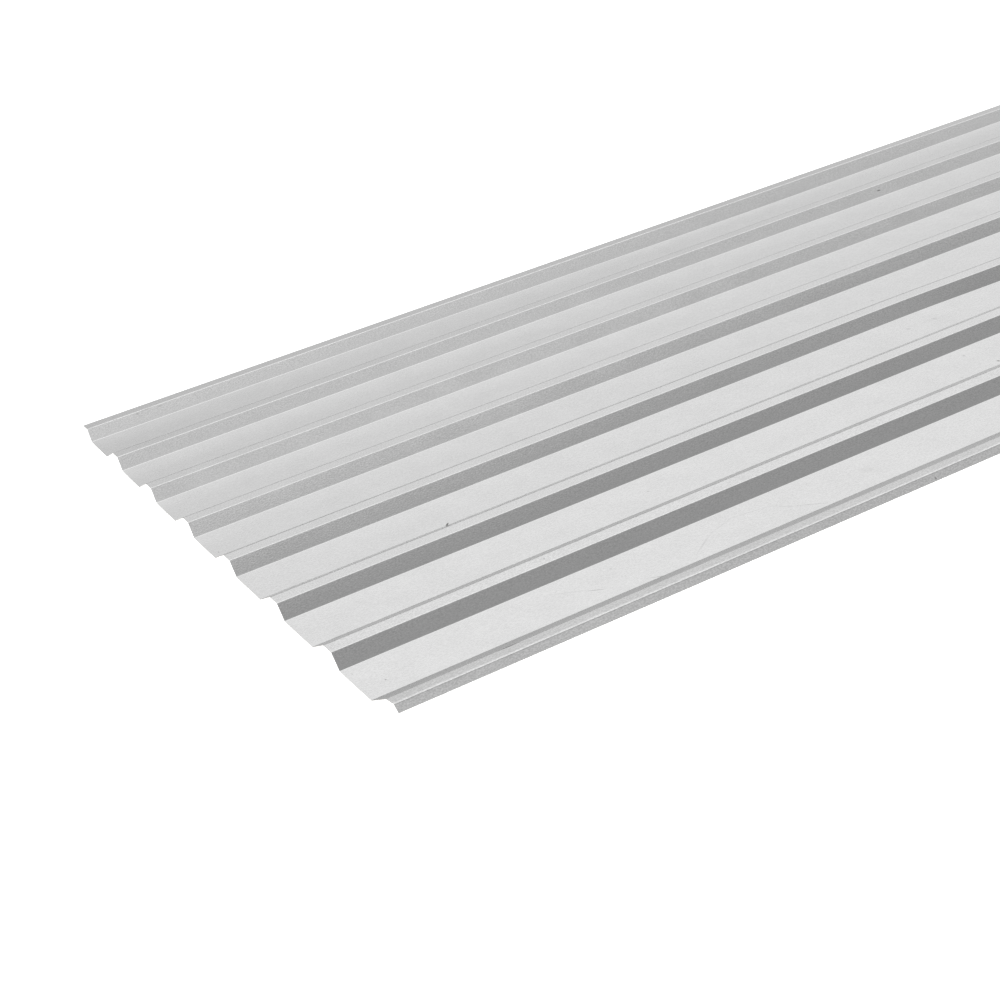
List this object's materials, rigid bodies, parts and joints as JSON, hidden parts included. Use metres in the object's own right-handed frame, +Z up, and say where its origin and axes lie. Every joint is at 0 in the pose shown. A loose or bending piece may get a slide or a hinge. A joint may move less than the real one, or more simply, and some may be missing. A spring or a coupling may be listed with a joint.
{
  "type": "corrugated metal sheet",
  "caption": "Low-rise trapezoidal roofing and cladding sheet in zinc-coated steel, with wide flat pans, narrow crowns and a taller rounded rib along one edge for the side lap.",
  "frame": {"origin": "under the middle of the sheet, on the floor that its pans rest on", "axes": "+X along the ribs, +Y across them towards the edge that goes under the next sheet, +Z up out of the weather face"},
  "size_m": [2, 0.9002, 0.0117],
  "materials": {
    "zinc_coated_steel": "hot-dip zinc coating with minimised spangle, satin"
  },
  "bodies": {
    "root": {"profiled_sheet": "zinc_coated_steel"}
  },
  "joints": []
}
